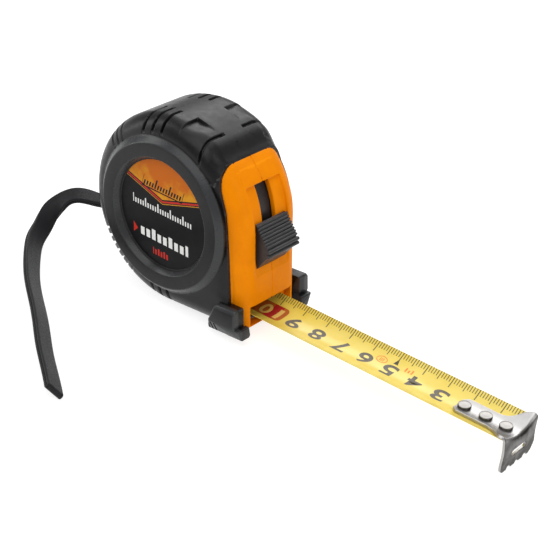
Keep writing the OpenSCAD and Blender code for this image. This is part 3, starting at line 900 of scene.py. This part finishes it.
def ink(name, colour, worn):
    """Printing ink, rubbed thin in spots."""
    paint = Paint(name)
    fade = paint.span(paint.noise(1800, 3), 0.5, 0.75, 0, 0.5)
    paint.set(base_color=paint.mix(fade, colour, worn),
              roughness=paint.span(paint.noise(900, 2), 0.3, 0.7, 0.35, 0.5),
              normal=paint.bump(paint.noise(2500, 2), 0.2, 0.000004))
    return paint.material


def stamp(outlines):
    """Upright prisms through the blade, one for each outline in x and y."""
    return join([prism("stamp", one, -1.0, 5.0, "z") for one in outlines], "stamp")


def digit(sign, x, y, height, width):
    """A figure as a prism through the blade, its top towards the blade's edge at negative y."""
    bolder, mid_z, tall = 0.022, 2, 3
    curve = bpy.data.curves.new("digit", "FONT")
    curve.body, curve.extrude, curve.offset = sign, 1.0, bolder
    thing = bpy.data.objects.new("digit", curve)
    bpy.context.scene.collection.objects.link(thing)
    mesh = bpy.data.meshes.new_from_object(thing)
    bpy.data.objects.remove(thing)
    made = bpy.data.objects.new("digit", mesh)
    bpy.context.scene.collection.objects.link(made)
    spots = np.array([v.co for v in mesh.vertices])
    low, high = spots.min(0), spots.max(0)
    size = high - low
    mesh.transform(Matrix.Translation((x, y, mid_z)) @ Matrix.Rotation(pi, 4, "Z")
                   @ Matrix.Diagonal((width / size[0], height / size[1], tall, 1))
                   @ Matrix.Translation((-(low[0] + high[0]) / 2, -(low[1] + high[1]) / 2, 0)))
    return outward(made)


def scale_marks(first, last):
    """Millimetre marks at one edge of the blade, longer at every fifth and tenth."""
    edge, outlines = 9.4, []
    for k in range(first, last + 1):
        reach, half = (3.64, 0.16) if k % 10 == 0 else (2.72, 0.14) if k % 5 == 0 else (1.9, 0.13)
        outlines.append(upright(-k, half, edge - reach - 0.4, edge))
    return outlines


def printed(name, cutter, start, end, material, lift=0.02):
    """The part of a thin film over the blade that lies inside the cutter."""
    film = strip(name, start, end, -0.01, lift, BLADE_W / 2 - 0.02)
    boolean(film, cutter, "INTERSECT", overlapping=True)
    film.data.materials.clear()
    film.data.materials.append(material)
    return film


def squashed(thing):
    """Gives the strip between tip and mouth a mesh of its own; the strip is what goes into the case as the
    blade goes in.
    """
    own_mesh(thing)
    return thing


def blade():
    """Tip that moves with the hook, strip that is pressed in, and the printing on both."""
    end, split = -(ZERO_X - BLADE_IN_X) / cos(DROOP), -TIP_LEN
    paint = blade_paint()
    dark = ink("scale_ink", (0.045, 0.038, 0.014), (0.16, 0.13, 0.04))
    grey = ink("figure_ink", (0.085, 0.072, 0.05), (0.2, 0.17, 0.1))
    orange = ink("fine_ink", (0.75, 0.2, 0.02), (0.8, 0.4, 0.06))
    cream = ink("pale_ink", (0.8, 0.52, 0.12), (0.7, 0.35, 0.08))
    red = ink("pill_ink", (0.42, 0.012, 0.01), (0.5, 0.05, 0.01))
    brown = ink("pill_end_ink", (0.45, 0.1, 0.008), (0.5, 0.16, 0.02))

    tip = strip("blade_tip_strip", split, 0, -BLADE_T, 0)
    for side in (-1, 1):
        corner = prism("corner", [(-1.2, side * 9.2), (0.3, side * 9.2), (0.3, side * 7.9)], -1, 5, "z")
        boolean(tip, corner)
    finish_piece(tip, "blade_end", paint, ["blade_tip"], place=ON_BLADE)
    run = strip("blade_strip", end, split, -BLADE_T, 0)
    squashed(finish_piece(run, "case", paint, ["blade"], place=ON_BLADE))

    marks = printed("scale_marks_tip", stamp(scale_marks(1, 26)), split, -0.6, dark)
    finish_piece(marks, "blade_end", sharp=30, place=ON_BLADE)
    layers = [printed("scale_marks_strip", stamp(scale_marks(26, 110)), end, split, dark),
              printed("pointer", stamp([[(-50.9, 4.3), (-49.1, 4.3), (-50, 6.7)]]), end, split, dark, 0.024)]
    centimetre, figure_y, figure_size = 10.0, 0.7, (5.8, 5.3)
    figures = [digit(str(k), -centimetre * k, figure_y, *figure_size) for k in range(3, 10)]
    figures = join(figures, "figures")
    layers.append(printed("figures", figures, end, split, grey))

    pill_x, pill_r, pill_end, low, high = -94.7, 1.6, -110, -2.9, 5.0
    upper = [(pill_x - pill_r + x, 1.05 + y) for x, y in arc((0, 2.35), pill_r, 0, pi / 2, 6)]
    lower = [(pill_x - pill_r + x, y) for x, y in arc((0, -1.3), pill_r, -pi / 2, 0, 6)]
    pill = stamp([upper + [(pill_end, high), (pill_end, low)] + lower])
    layers.append(printed("pill", pill, pill_end, split, brown))
    core = stamp([[(-97.4, low), (-97.4, high), (-101.2, high), (-101.2, low)]])
    layers.append(printed("pill_core", core, pill_end, split, red, 0.028))
    numbers = join([digit("1", -97.2, 1.05, 5.6, 1.7), digit("0", -102.6, 1.05, 5.6, 4.2)], "numbers")
    layers.append(printed("pill_figures", numbers, pill_end, split, cream, 0.036))

    turns, oval_x, oval_y = np.linspace(0, 2 * pi, 33)[:-1], -55.1, 3.8
    oval, hole = [[(oval_x + wide * cos(a), oval_y + tall * sin(a)) for a in turns]
                  for wide, tall in ((2.1, 1.45), (1.8, 1.15))]
    ring = boolean(stamp([oval]), prism("hole", hole, -2, 6, "z"))
    bars = stamp([upright(x, 0.16, 3.1, 4.5) for x in (-55.7, -55.1, -54.5)])
    rises = ((-43.2, 1.7), (-44.4, 1.2), (-45.6, 1.7))
    dashes = stamp([upright(x, 0.3, 3.4, 3.4 + rise) for x, rise in rises])
    layers.append(printed("fine_print", join([ring, bars, dashes], "fine"), end, split, orange))
    squashed(finish_piece(join(layers, "scale_print_strip"), "case", sharp=30, place=ON_BLADE))
    for node in ("blade_run", "blade_coil"):
        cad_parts[node].data.materials[0] = paint


blade()


# -------------- end hook and rivets
def hook():
    """Pressed sheet: cupped tongue, flare, rounded bend and a claw with slot and toothed edge."""
    lift, half_t, bend_r, bend_x, outer_z = 0.53, 0.5, 1.1, -0.55, -CLAW_DROP
    widths = ((-TONGUE_LEN, 2.6), (-21.3, 3.9), (-20.7, 4.25), (-19, 4.3), (-9.5, 4.3), (-8, 4.5),
              (-6.5, 5.1), (-5.2, 6.1), (-4, 7.4), (-2.8, 8.5), (-1.6, 9.05), (bend_x, 9.3))
    along, half_at = np.array(widths).T
    rings = []

    def ring(half, lay, steps=32):
        turn = asin(half / (CUP_R - lift))
        upper, lower = [], []
        for k in range(steps + 1):
            a = -turn + 2 * turn * k / steps
            point, normal = lay(a)
            upper.append(point + normal * half_t)
            lower.append(point - normal * half_t)
        rings.append([tuple(p) for p in upper + lower[::-1]])

    def cup(x, a):
        r = CUP_R - lift
        return Vector((x, r * sin(a), CUP_R - r * cos(a))), Vector((0, -sin(a), cos(a)))

    for x in np.concatenate([along[:4], np.linspace(-18, -10, 4), np.linspace(-9.5, bend_x, 20)]):
        ring(float(np.interp(x, along, half_at)), lambda a, x=x: cup(float(x), a))
    for t in np.linspace(0, pi / 2, 9)[1:]:
        def turned(a, t=t):
            point, normal = cup(bend_x, a)
            return (point + Vector((bend_r * sin(t), 0, -bend_r * (1 - cos(t)))),
                    normal * cos(t) + Vector((sin(t), 0, 0)))
        ring(CLAW_Y, turned)
    for q in np.linspace(0, 1, 16)[1:]:
        def dropped(a, q=q):
            point, _ = cup(bend_x + bend_r, a)
            top = point.z - bend_r
            return Vector((point.x, point.y, top + (outer_z - top) * q)), Vector((1, 0, 0))
        ring(CLAW_Y - 0.55 * sin(pi * min(q * 1.3, 1)), dropped)
    sheet = capped_sweep("end_hook_pressed", rings)
    cuts = [capsule(3.1, 1.0, (0.1, -4.1))]
    gaps = ((-4.9, 1.15), (-0.4, 0.95), (4.2, 1.15))
    cuts += [arc((y, outer_z - 0.1), r, 0, 2 * pi, 20)[:-1] for y, r in gaps]
    cuts += [[(-9.7, -9.3), (-8.2, -9.3), (-9.7, -7.8)],
             [(9.7, -9.3), (5.9, -9.3), (7.6, -8.2), (8.7, -6.6), (9.7, -4.4)]]
    for cut in cuts:
        boolean(sheet, prism("cut", cut, -3, 4, "x"))
    soften(sheet, 0.13, 5)
    # painted dark reflection: the claw's front face, turned towards +x, is darkened to a near-black steel
    # colour
    steel = metal("hook_steel", (0.43, 0.42, 0.415), 0.33, painted_shade=((1, 0, 0), 0.2, 0.75, (0.035, 0.032, 0.027)))
    finish_piece(sheet, "hook", steel, ["end_hook"], sharp=60, place=ON_BLADE)


def rivets():
    """Three turned rivets through blade and tongue, with flat heads."""
    profile = [(0, -0.72), (1.6, -0.72), (1.72, -0.6), (1.72, -0.22), (1.0, -0.2), (1.0, 1.0), (2.15, 1.02),
               (2.2, 1.2), (2.2, 1.86), (2.14, 1.98), (2.02, 2.06), (1.3, 2.06), (1.1, 2.03), (0, 2.03)]
    parts = []
    for x in RIVET_X:
        rivet = lathe("rivet", profile, 48)
        rivet.data.transform(Matrix.Translation((x, 0, 0)))
        parts.append(rivet)
    # painted shade: the rivets' sides, turned away from straight up, are darkened, while the flat tops keep
    # the steel colour
    steel = metal("rivet_steel", (0.33, 0.315, 0.3), 0.36, (300, 300, 300),
                  painted_shade=((0, 0, -1), -0.8, -0.4, (0.07, 0.065, 0.055)))
    finish_piece(join(parts, "hook_rivets_turned"), "blade_end", steel, ["hook_rivets"],
                 place=ON_BLADE)


hook()
rivets()


# -------------- belt clip and inner parts
def belt_clip():
    """Spring strip with round ends, screwed on above the label's middle and bent away from the case."""
    stand, thick, half, corner, soft = LABEL_Y + 0.3, 0.8, 6.5, 2.5, 0.12
    route = [(17, 0), (12, 0), (7.5, 0), (5.5, 0.5), (3.2, 2.0), (0.8, 3.4), (-2, 3.85), (-9, 3.95),
             (-16, 3.8), (-20, 3.2), (-22.5, 3.2), (-25, 4.1), (-27, 5.4)]
    line = smooth_route([(0, y, z) for z, y in route], 5)
    along = np.gradient(line, axis=0)
    along /= np.linalg.norm(along, axis=1)[:, None]
    run = np.concatenate([[0], np.cumsum(np.linalg.norm(np.diff(line, axis=0), axis=1))])
    rings = []
    for k, point in enumerate(line):
        out = np.cross(along[k], (1.0, 0, 0))
        out = out if out[1] > 0 else -out
        edge = min(run[k], run[-1] - run[k], corner)
        wide = half - corner + sqrt(max(corner ** 2 - (corner - edge) ** 2, 0)) if edge < corner else half
        wide = max(wide, half - 2.3)
        base = point + np.array((0, stand, 0))
        section = [(-wide, soft), (-wide + soft, 0), (wide - soft, 0), (wide, soft), (wide, thick - 0.15),
                   (wide - 0.15, thick), (0, thick), (-wide + 0.15, thick), (-wide, thick - 0.15)]
        rings.append([tuple(base + out * h + np.array((w, 0, 0))) for w, h in section])
    clip = capped_sweep("belt_clip_bent", rings)
    drill = lathe("drill", [(0, -5), (1.35, -5), (1.35, 5), (0, 5)], 32)
    drill.data.transform(Matrix.Translation((0, stand, 11)) @ Matrix.Rotation(pi / 2, 4, "X"))
    boolean(clip, drill)
    steel = metal("clip_steel", (0.6, 0.6, 0.6), 0.28, (60, 900, 900))
    finish_piece(clip, "case", steel, ["belt_clip"])


def dress_inner_parts():
    lock_black = moulded("lock_plastic", (0.02, 0.02, 0.021), (0.013, 0.013, 0.014), 0.4, 3000, 0.00002)
    white = moulded("spool_plastic", (0.62, 0.62, 0.6), (0.52, 0.52, 0.5), 0.45, 2500, 0.00002)
    looks = {
        lock_black: ("lock_strip", "brake_shoe"),
        white: ("spool", "spool_cover"),
        metal("spring_steel", (0.25, 0.27, 0.31), 0.35, (900, 60, 900)): ("power_spring",),
        metal("post_steel", (0.55, 0.55, 0.56), 0.3): ("arbor", "strap_bar"),
        metal("screw_steel", (0.5, 0.5, 0.49), 0.3, (500, 500, 500)):
            ("case_screws", "centre_screw", "clip_screw"),
    }
    for look, nodes in looks.items():
        for node in nodes:
            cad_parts[node].data.materials[0] = look


belt_clip()
dress_inner_parts()
